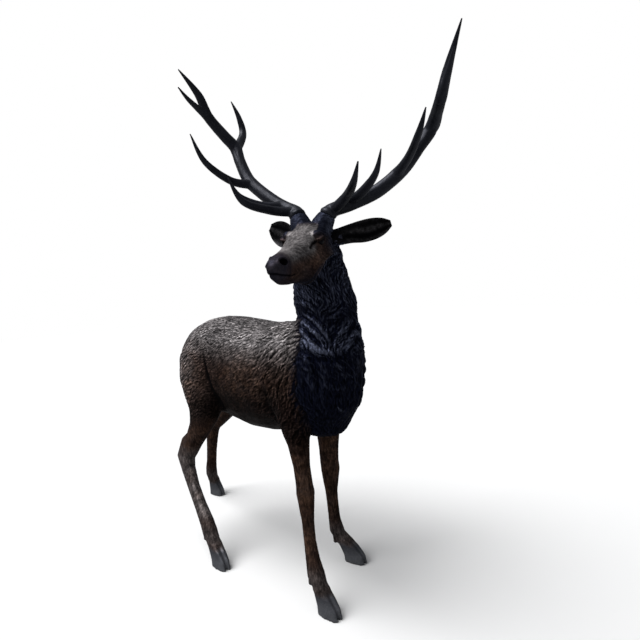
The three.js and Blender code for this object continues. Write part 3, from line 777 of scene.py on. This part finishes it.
def skin_material():
    n = Nodes("bronze_patina")
    masks = n.add("ShaderNodeSeparateColor")
    n.link(n.field("patina_and_sheen").outputs["Color"], masks.inputs[0])
    black, warm, grey_and_sheen = masks.outputs
    crest_light = n.field("crest_light").outputs["Fac"]
    recess_shade = n.field("recess_shade").outputs["Fac"]
    shade = n.field("shade").outputs["Fac"]
    steel = n.field("steel").outputs["Fac"]
    fuzz = n.field("fuzz").outputs["Fac"]
    broad = n.ramp(n.noise(7.0, 5.0, 0.6), [(0.36, 0.0), (0.66, 1.0)])
    patchy = n.ramp(n.noise(16.0, 4.0, 0.65, 0.6), [(0.42, 0.0), (0.64, 1.0)])
    speck = n.ramp(n.noise(150.0, 3.0, 0.6), [(0.42, 0.0), (0.64, 1.0)])
    colour = n.mix(broad, RED_BROWN, BROWN)
    colour = n.mix(n.math("MULTIPLY", warm, patchy), colour, WARM)
    # Painted shade: the colour goes near black low on the body, on faces that point down and under the jaw.
    colour = n.mix(n.math("MULTIPLY", shade, 0.86), colour, SHADE_DARK)
    mottle = n.ramp(n.noise(12.0, 5.0, 0.7, 1.2), [(0.36, 1.35), (0.48, 1.0), (0.62, 0.34)])
    # The lighter tone, mostly painted highlight on up-facing parts, from the third channel.
    colour = n.mix(n.math("MULTIPLY", grey_and_sheen, 0.85), colour, GREY)
    colour = n.mix(0.8, colour, n.mix(1.0, colour, mottle, "MULTIPLY"))
    horn = n.ramp(n.math("MULTIPLY", n.height(), 10.0), HORN)
    horn = n.mix(n.math("MULTIPLY", broad, 0.6), horn, n.mix(1.0, horn, (0.45, 0.45, 0.46), "MULTIPLY"))
    colour = n.mix(steel, colour, horn)
    # Painted highlight on the crests and painted shade in the gaps: the colour is multiplied by 0.08 in the gaps up
    # to 3.3 on the crests.
    coat = n.ramp(crest_light, [(0.0, 0.08), (0.25, 0.32), (0.50, 0.85), (0.72, 1.60), (1.0, 3.3)])
    colour = n.mix(1.0, colour, coat, "MULTIPLY")
    pits = n.ramp(n.noise(75.0, 4.0, 0.7), [(0.38, 0.42), (0.50, 1.0), (0.66, 1.6)])
    colour = n.mix(n.math("MULTIPLY", fuzz, 0.65), colour, n.mix(1.0, colour, pits, "MULTIPLY"))
    colour = n.mix(n.math("MULTIPLY", speck, 0.40), colour, n.mix(1.0, colour, (1.7, 1.65, 1.6), "MULTIPLY"))
    # Painted highlight on the crests of the blue-black parts, scaled by the painted sheen.
    painted_glint = n.ramp(crest_light, [(0.34, 0.0), (0.90, 1.0)])
    painted_sheen = n.field("painted_sheen").outputs["Fac"]
    blue = n.mix(n.math("MULTIPLY", painted_glint, painted_sheen), BLUE_BLACK, BLUE_HIGHLIGHT)
    colour = n.mix(black, colour, blue)
    laid = n.ramp(n.streaks(135.0, (4.0, 1.0, 1.0), -0.46), STREAKS)
    hung = n.ramp(n.streaks(135.0, (1.0, 1.0, 4.0), 0.0), STREAKS)
    hair = n.mix(n.field("hanging").outputs["Fac"], laid, hung)
    colour = n.mix(fuzz, colour, n.mix(1.0, colour, hair, "MULTIPLY"))
    # Painted shade in hollows: creases, pits, nostrils, the eye's socket and the mouth's line go near black.
    colour = n.mix(recess_shade, colour, (0.0025, 0.0022, 0.0030))
    n.link(colour, n.shader.inputs["Base Color"])
    n.link(n.ramp(shade, [(0.0, 0.42), (0.8, 0.08)]), n.shader.inputs["Metallic"])
    n.shader.inputs["Specular IOR Level"].default_value = 0.02
    n.shader.inputs["Specular Tint"].default_value = EDGE_TINT
    rough = n.ramp(n.noise(45.0, 3.0, 0.5), [(0.3, 0.38), (0.7, 0.54)])
    n.link(n.mix(n.math("MULTIPLY", steel, 0.8), rough, (0.30, 0.30, 0.30)), n.shader.inputs["Roughness"])
    n.bumps(n.noise(330.0, 3.0, 0.6), 0.30, 0.0010)
    return n.material


def ear_material():
    n = Nodes("ear_patina")
    crest_light = n.field("crest_light").outputs["Fac"]
    recess_shade = n.field("recess_shade").outputs["Fac"]
    # The ear's colour: lighter on its ridges and rim as painted highlight, near black in its cup as painted shade,
    # with blotches.
    colour = n.mix(crest_light, (0.005, 0.005, 0.006), (0.080, 0.076, 0.080))
    blotch = n.ramp(n.noise(55.0, 4.0, 0.7), [(0.36, 0.30), (0.52, 1.0), (0.68, 2.2)])
    colour = n.mix(1.0, colour, blotch, "MULTIPLY")
    colour = n.mix(recess_shade, colour, (0.0025, 0.0022, 0.0030))
    n.link(colour, n.shader.inputs["Base Color"])
    n.shader.inputs["Metallic"].default_value = 0.42
    n.shader.inputs["Specular IOR Level"].default_value = 0.04
    n.shader.inputs["Specular Tint"].default_value = EDGE_TINT
    n.shader.inputs["Roughness"].default_value = 0.45
    n.bumps(n.noise(330.0, 3.0, 0.6), 0.30, 0.0010)
    return n.material


def antler_material():
    n = Nodes("blue_black_patina")
    broad = n.ramp(n.noise(9.0, 5.0, 0.6), [(0.35, 0.0), (0.7, 1.0)])
    speck = n.ramp(n.noise(120.0, 3.0, 0.6), [(0.45, 0.0), (0.7, 1.0)])
    colour = n.mix(broad, (0.006, 0.007, 0.011), (0.026, 0.028, 0.038))
    colour = n.mix(n.math("MULTIPLY", speck, 0.25), colour, (0.060, 0.062, 0.070))
    n.link(colour, n.shader.inputs["Base Color"])
    n.shader.inputs["Metallic"].default_value = 0.25
    n.shader.inputs["Specular IOR Level"].default_value = 0.35
    n.shader.inputs["Specular Tint"].default_value = EDGE_TINT
    rough = n.ramp(n.noise(45.0, 3.0, 0.5), [(0.3, 0.32), (0.7, 0.46)])
    n.link(rough, n.shader.inputs["Roughness"])
    n.bumps(n.noise(260.0, 3.0, 0.6), 0.3, 0.001)
    return n.material


def eye_material():
    n = Nodes("eye_patina")
    colour = n.mix(n.ramp(n.noise(60.0), [(0.4, 0.0), (0.7, 1.0)]), (0.003, 0.003, 0.004), (0.009, 0.008, 0.009))
    n.link(colour, n.shader.inputs["Base Color"])
    n.shader.inputs["Metallic"].default_value = 0.3
    n.shader.inputs["Specular IOR Level"].default_value = 0.15
    n.shader.inputs["Specular Tint"].default_value = EDGE_TINT
    n.shader.inputs["Roughness"].default_value = 0.24
    return n.material


# Pieces


def place_piece(name, mesh, material, slot, *nodes):
    write_points(mesh, np.clip(read_points(mesh), cad_box[0], cad_box[1]))
    mesh.materials.clear()
    mesh.materials.append(material)
    piece = bpy.data.objects.new(name, mesh)
    bpy.context.scene.collection.objects.link(piece)
    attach(piece, "root")
    if nodes:
        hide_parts(*nodes)
    return piece


def make_skin():
    mesh = build_skin()
    fields = dress_skin(mesh)
    co = read_points(mesh) + SHIFT
    write_points(mesh, co)
    normals = read_normals(mesh)
    centres = np.empty(len(mesh.polygons) * 3, np.float32)
    mesh.polygons.foreach_get("center", centres)
    figure = centres.reshape(-1, 3).astype(float) - SHIFT
    head = to_head(figure)
    top = (figure[:, 2] > 1.46) | ((head[:, 0] > 0.03) & (figure[:, 2] > 1.27))
    low = figure[:, 2] < 0.74
    fore = (figure[:, 0] > 0.30) & ~top & ~low
    rear = (figure[:, 0] < -0.16) & ~low
    ahead = figure[:, 0] > 0
    regions = {"head": top, "front_legs": low & ahead, "hind_legs": low & ~ahead,
               "neck": fore, "rump": rear, "trunk": ~(top | low | fore | rear)}
    material = skin_material()
    for name, keep in regions.items():
        piece = cut_out(mesh, keep & ~beyond_ear_root(head), "skin_" + name, normals, fields)
        node = ["stag"] if name == "trunk" else []
        place_piece("skin_" + name, piece, material, "bronze_brown", *node)
    bpy.data.meshes.remove(mesh)


# An ear's rows in the head's frame, in millimetres: x, y, z, half width, depth before and behind.
EAR = [
    [0, 0, -6, 34, 24, 24],
    [-26, 34, 4, 36, 24, 28],
    [-58, 78, 22, 41, 24, 32],
    [-88, 124, 36, 48, 24, 32],
    [-110, 166, 51, 46, 20, 26],
    [-122, 202, 64, 34, 12, 16],
    [-128, 230, 74, 13, 4, 6],
]
# The left and the right ear: how far out, how high and how wide the rows are, and how low they sit.
EAR_POSE = {1: (1.06, 0.97, 1.0, 60), -1: (0.88, 1.25, 1.18, 75)}


def ear_rows(side):
    spread, rise, wide, seat = EAR_POSE[side]
    rows = np.array(EAR, float)
    placed = np.stack([rows[:, 0] - 18, side * (66 + rows[:, 1] * spread), rows[:, 2] * rise - seat], 1)
    return np.hstack([placed, rows[:, 3:4] * wide, rows[:, 4:]]) / 1000.0


def beyond_ear_root(head):
    """The faces of the figure's skin that belong to an ear, past its root."""
    past = np.zeros(len(head), bool)
    for side in (1, -1):
        rows = ear_rows(side)
        root, tip = rows[0, :3], rows[-1, :3]
        axis = (tip - root) / np.linalg.norm(tip - root)
        past |= ((head - root) @ axis > 0.062) & (side * head[:, 1] > 0.09) & (head[:, 2] > -0.16)
    return past


def make_ears():
    material = ear_material()
    matrix = np.array(HEAD)
    sides, steps = 96, 22
    for side, name in ((1, "ear_left"), (-1, "ear_right")):
        line = curve_through(ear_rows(side), steps)
        line[:, 3:] = np.maximum(line[:, 3:], 0.001)
        u = np.arange(len(line)) / steps
        ahead = np.gradient(line[:, :3], axis=0)
        ahead = unit(ahead)
        front = np.tile([0.95, side * 0.1, -0.1], (len(line), 1))
        front = unit(front - ahead * (front * ahead).sum(1, keepdims=True))
        across = np.cross(ahead, front)
        scoop = 0.95 * smoothstep(u, 0.4, 2.6)
        hollow = line[:, 4] + (-0.55 * line[:, 5] - line[:, 4]) * scoop
        turn = 2 * math.pi * np.arange(sides) / sides
        cosine, sine = np.cos(turn), np.sin(turn)
        inner = sine > 1e-6
        depth = np.where(inner[None, :], hollow[:, None], line[:, 5][:, None]) * sine[None, :]
        points = line[:, None, :3] + across[:, None] * (line[:, 3:4] * cosine)[..., None]
        points = points + front[:, None] * depth[..., None]
        lengthwise = (u / u[-1])[:, None] * np.ones(sides)[None, :]
        width = cosine[None, :] * np.ones(len(line))[:, None]
        cup = inner[None, :] * np.sqrt(np.clip(1 - width ** 2, 0, 1)) * smoothstep(lengthwise, 0.10, 0.3)
        cup = cup * (1 - smoothstep(lengthwise, 0.9, 1.0))
        bend = width + 0.12 * np.sin(5 * lengthwise)
        ridges = 0.5 + 0.5 * np.cos((bend + 0.18 + 0.10 * np.sin(9 * lengthwise)) * 2 * math.pi * 0.95)
        hair = 0.5 + 0.5 * np.cos(bend * 2 * math.pi * 6.0 + 7.0 * lengthwise + 3.0 * np.sin(11 * lengthwise))
        lift = cup * (0.0042 * (ridges - 0.3) + 0.0009 * hair)
        points = points + front[:, None] * lift[..., None]
        # Painted light on the ear: its rim and ridges are marked lighter, and the cup between the ridges and low near
        # the root is marked for painted shade.
        rim = smoothstep(np.abs(width), 0.86, 0.98) * smoothstep(lengthwise, 0.15, 0.3)
        crest_light = np.clip(0.26 + 0.55 * cup * (ridges * 0.6 + hair * 0.4 - 0.55) + 0.34 * rim, 0, 1)
        recess_shade = np.clip(cup * (1 - ridges) * 1.1 - 0.15, 0, 1)
        recess_shade = np.maximum(recess_shade, 0.85 * inner[None, :] * (1 - smoothstep(lengthwise, 0.16, 0.42)) * np.sqrt(np.clip(1 - width ** 2, 0, 1)))
        co = points.reshape(-1, 3) @ matrix[:3, :3].T + matrix[:3, 3] + SHIFT
        ring = np.arange(sides)
        quads = []
        for r in range(len(line) - 1):
            a, b = r * sides + ring, r * sides + (ring + 1) % sides
            quads.append(np.stack([a, b, b + sides, a + sides], 1))
        caps = [ring[::-1], (len(line) - 1) * sides + ring]
        corners = np.concatenate([np.concatenate(quads).ravel(), *caps])
        totals = np.array([4] * ((len(line) - 1) * sides) + [sides, sides])
        starts = np.concatenate([[0], np.cumsum(totals)[:-1]])
        mesh = new_mesh(name, co, corners, starts, totals)
        bm = bmesh.new()
        bm.from_mesh(mesh)
        bmesh.ops.recalc_face_normals(bm, faces=bm.faces)
        bm.to_mesh(mesh)
        bm.free()
        add_field(mesh, "crest_light", crest_light.ravel())
        add_field(mesh, "recess_shade", recess_shade.ravel())
        place_piece(name, mesh, material, "bronze_brown")


def make_eyes():
    material = eye_material()
    for name, side in (("eye_left", 1), ("eye_right", -1)):
        bm = bmesh.new()
        bmesh.ops.create_uvsphere(bm, u_segments=32, v_segments=20, radius=0.0175)
        centre = HEAD @ Vector((0.101, side * 0.0745, -0.092))
        bmesh.ops.translate(bm, verts=bm.verts, vec=centre + Vector(SHIFT))
        mesh = bpy.data.meshes.new(name)
        bm.to_mesh(mesh)
        bm.free()
        mesh.polygons.foreach_set("use_smooth", np.ones(len(mesh.polygons), bool))
        place_piece(name, mesh, material, "bronze_brown")


# An antler's lines in the head's frame: [forward, outward, up, radius, skew] in millimetres.
# The skew lifts the left antler and lowers the right.
ANTLER_FOOT = np.array([-6.0, 67.0, 30.0])
STUB_AXIS = np.array([-0.14, 0.42, 0.9])
BEAM = [
    [-14, 74, 46, 31, 0],
    [-28, 103, 62, 30, 0],
    [-46, 165, 88, 29, -3],
    [-75, 265, 146, 29, -9],
    [-104, 360, 228, 28, -5],
    [-128, 422, 324, 26, -8],
    [-152, 464, 400, 27, -10],
    [-100, 496, 445, 25, -10],
    [-12, 526, 492, 22, -22],
    [28, 555, 582, 17, -20],
    [108, 608, 690, 3, 0],
]
TINES = [
    [[-12, 90, 52, 22, 0], [50, 168, 73, 19, 20], [176, 234, 90, 14, 23], [239, 268, 160, 3, 10]],
    [[-38, 150, 88, 20, 0], [20, 227, 98, 19, 17], [89, 297, 138, 13, 28], [133, 326, 207, 3, 34]],
    [[-95, 335, 205, 21, -5], [-16, 404, 230, 17, 18], [107, 463, 283, 13, 15], [172, 496, 366, 3, -5]],
    [[-150, 458, 390, 23, -9], [-247, 477, 478, 18, -28], [-240, 496, 553, 13, -36], [-204, 522, 615, 3, -46]],
    [[-20, 526, 485, 16, -20], [50, 552, 525, 13, -15], [93, 570, 555, 9, -9], [137, 586, 588, 3, -8]],
]


def curve_through(rows, steps=8):
    """Points on a Catmull-Rom curve through the rows."""
    rows = np.array(rows, float)
    padded = np.vstack([rows[0], rows, rows[-1]])
    points = []
    for i in range(1, len(padded) - 2):
        a, b, c, d = padded[i - 1 : i + 3]
        for t in np.arange(steps) / steps:
            points.append(b + 0.5 * t * (c - a + t * (2 * a - 5 * b + 4 * c - d + t * (3 * (b - c) + d - a))))
    return np.array(points + [rows[-1]])


def rod_distance(points, line):
    """Each point's signed distance to a rod of changing radius, and the rod's radius there."""
    best = np.full(len(points), 1e9)
    girth = np.zeros(len(points))
    for a, b in zip(line[:-1], line[1:]):
        span = b[:3] - a[:3]
        t = np.clip(((points - a[:3]) @ span) / (span @ span), 0, 1)
        radius = a[3] + t * (b[3] - a[3])
        distance = np.linalg.norm(points - a[:3] - t[:, None] * span, axis=1) - radius
        closer = distance < best
        best[closer] = distance[closer]
        girth[closer] = radius[closer]
    return best, girth


def make_antler(node, side):
    mesh = voxel_mesh(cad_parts[node], ANTLER_VOXEL)
    ends = read_edges(mesh)
    co = to_head(read_points(mesh) - SHIFT) * 1000.0
    lines = []
    for rows in [BEAM] + TINES:
        line = curve_through(rows)
        line[:, 2] += side * line[:, 4]
        line[:, 1] *= side
        lines.append(line[:, :4])
    foot = ANTLER_FOOT * [1, side, 1]
    axis = STUB_AXIS * [1, side, 1] / np.linalg.norm(STUB_AXIS)
    height = (co - foot) @ axis
    free = smoothstep(height, 20.0, 46.0)
    for _ in range(3):
        distances, girths = zip(*[rod_distance(co, line) for line in lines])
        distances = np.array(distances)
        soft = 5.0
        weights = np.exp(-(distances - distances.min(0)) / soft)
        merged = distances.min(0) - soft * 0.5 * np.log(weights.sum(0))
        write_points(mesh, co)
        normals = read_normals(mesh)
        co = co - normals * (free * np.clip(merged, -4, 4) * 0.8)[:, None]
    near_foot = 0.45 * (height > 4.0)
    co = relax(co, ends, 4, near_foot * (0.35 + 0.65 * smoothstep(np.min(girths, 0), 4, 12)))
    write_points(mesh, co)
    normals = read_normals(mesh)
    ring = bump(height - 12.0, 8.0) * (height > 3.0)
    pearls = tufts(co / 1000, normals, np.tile(axis, (len(co), 1)), 0.010, 0.012, 0.010, 41)
    girth = np.array(girths)[np.argmin(distances, 0), np.arange(len(co))]
    grooves = tufts(co / 1000, normals, flow_along(co, lines, distances), 0.020, 0.090, 0.009, 42, lean=0.1, wave=0.2)
    fade = smoothstep(girth, 8, 20) * free
    co = co + normals * (1.8 * pearls * ring + 1.1 * grooves * fade)[:, None]
    matrix = np.array(HEAD)
    co = (co / 1000.0) @ matrix[:3, :3].T + matrix[:3, 3] + SHIFT
    write_points(mesh, co)
    mesh.polygons.foreach_set("use_smooth", np.ones(len(mesh.polygons), bool))
    return mesh


def flow_along(points, lines, distances):
    """The way the nearest line runs, at each point."""
    nearest = np.argmin(distances, 0)
    flow = np.zeros((len(points), 3))
    for k, line in enumerate(lines):
        mine = nearest == k
        if mine.any():
            gaps = np.linalg.norm(points[mine][:, None, :] - line[None, :, :3], axis=2)
            i = np.clip(gaps.argmin(1), 0, len(line) - 2)
            flow[mine] = unit(line[i + 1, :3] - line[i, :3])
    return flow


make_skin()
make_ears()
make_eyes()
bronze_dark = antler_material()
for node, side in (("antler_left", 1), ("antler_right", -1)):
    place_piece(node + "_cast", make_antler(node, side), bronze_dark, "bronze_blue_black", node)


# Floor, light and camera


def stage():
    bpy.ops.mesh.primitive_plane_add(size=40.0, location=(0.0, 0.0, -0.001))
    floor = bpy.context.object
    floor.name = "floor"
    n = Nodes("pale_floor")
    n.shader.inputs["Base Color"].default_value = (0.92, 0.92, 0.92, 1.0)
    n.shader.inputs["Roughness"].default_value = 0.9
    dim = n.add("ShaderNodeBsdfDiffuse")
    dim.inputs["Color"].default_value = (0.30, 0.30, 0.30, 1.0)
    seen, either = n.add("ShaderNodeLightPath"), n.add("ShaderNodeMixShader")
    n.link(seen.outputs["Is Camera Ray"], either.inputs[0])
    n.link(dim.outputs[0], either.inputs[1])
    n.link(n.shader.outputs[0], either.inputs[2])
    n.link(either.outputs[0], n.tree.nodes["Material Output"].inputs["Surface"])
    floor.data.materials.append(n.material)

    world = bpy.data.worlds.new("studio")
    bpy.context.scene.world = world
    world.use_nodes = True
    tree = world.node_tree
    backdrop = tree.nodes["Background"]
    backdrop.inputs["Color"].default_value = (1.0, 1.0, 1.0, 1.0)
    backdrop.inputs["Strength"].default_value = 1.0
    ambient = tree.nodes.new("ShaderNodeBackground")
    ambient.inputs["Color"].default_value = (0.95, 0.97, 1.0, 1.0)
    ambient.inputs["Strength"].default_value = 0.20
    seen = tree.nodes.new("ShaderNodeLightPath")
    either = tree.nodes.new("ShaderNodeMixShader")
    tree.links.new(seen.outputs["Is Camera Ray"], either.inputs[0])
    tree.links.new(ambient.outputs[0], either.inputs[1])
    tree.links.new(backdrop.outputs[0], either.inputs[2])
    tree.links.new(either.outputs[0], tree.nodes["World Output"].inputs["Surface"])
    scene = bpy.context.scene
    scene.view_settings.view_transform = "Standard"
    scene.view_settings.exposure = 0.0


def area_light(name, place, target, size, power, colour=(1.0, 1.0, 1.0)):
    light = bpy.data.lights.new(name, "AREA")
    light.shape = "RECTANGLE"
    light.size, light.size_y = size
    light.energy = power
    light.color = colour
    lamp = bpy.data.objects.new(name, light)
    bpy.context.scene.collection.objects.link(lamp)
    lamp.location = place
    lamp.rotation_euler = (Vector(target) - Vector(place)).to_track_quat("-Z", "Y").to_euler()


def sun_light(name, towards, strength, spread):
    """A wide soft sun. towards points from the work to the light."""
    light = bpy.data.lights.new(name, "SUN")
    light.energy = strength
    light.angle = math.radians(spread)
    lamp = bpy.data.objects.new(name, light)
    bpy.context.scene.collection.objects.link(lamp)
    lamp.rotation_euler = Vector(towards).to_track_quat("Z", "Y").to_euler()


def camera():
    yaw, pitch, roll = math.radians(46.67), math.radians(-3.70), math.radians(-3.37)
    ahead = Vector((-math.sin(yaw) * math.cos(pitch), math.cos(yaw) * math.cos(pitch), math.sin(pitch)))
    level = Vector((math.cos(yaw), math.sin(yaw), 0.0))
    above = level.cross(ahead)
    right = level * math.cos(roll) + above * math.sin(roll)
    up = above * math.cos(roll) - level * math.sin(roll)
    data = bpy.data.cameras.new("photo_camera")
    data.sensor_width = 36.0
    data.lens = 499.2 / 640.0 * 36.0
    view = bpy.data.objects.new("photo_camera", data)
    bpy.context.scene.collection.objects.link(view)
    turn = Matrix((right, up, -ahead)).transposed().to_4x4()
    view.matrix_world = Matrix.Translation(Vector((2.006, -1.484, 1.356)) + Vector(SHIFT)) @ turn
    bpy.context.scene.camera = view


stage()
sun_light("sun", (-0.36, -0.48, 1.0), 3.5, 50.0)
camera()
